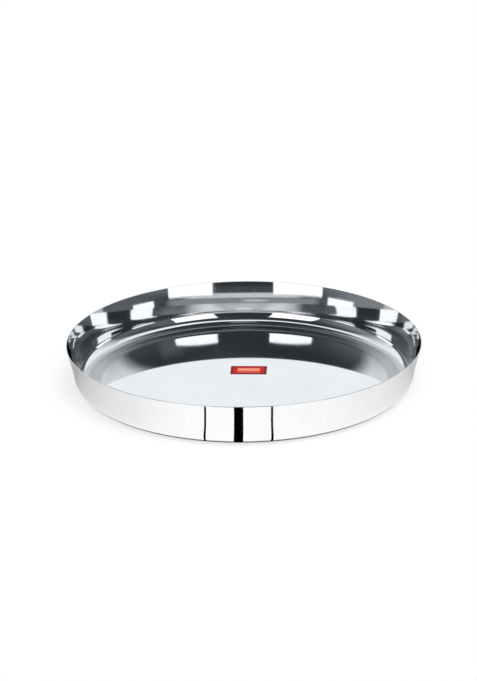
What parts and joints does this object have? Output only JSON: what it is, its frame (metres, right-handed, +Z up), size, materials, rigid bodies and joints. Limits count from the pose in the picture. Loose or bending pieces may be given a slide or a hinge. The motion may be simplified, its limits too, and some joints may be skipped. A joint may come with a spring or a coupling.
{
  "type": "thali plate",
  "caption": "Round flat-bottomed steel serving plate with a flared wall, a rounded bottom corner and a plain rim, and a small blank label on its floor.",
  "frame": {"origin": "centre of the flat underside, on the surface that the plate stands on", "axes": "+Z up along the plate's axis, -Y towards the person it is set before, +X to that person's right"},
  "size_m": [0.3, 0.3, 0.0375],
  "materials": {
    "polished_steel": "mirror-polished stainless steel",
    "label_film": "glossy printed film"
  },
  "bodies": {
    "root": {"dish": "polished_steel", "label": "label_film"}
  },
  "joints": []
}
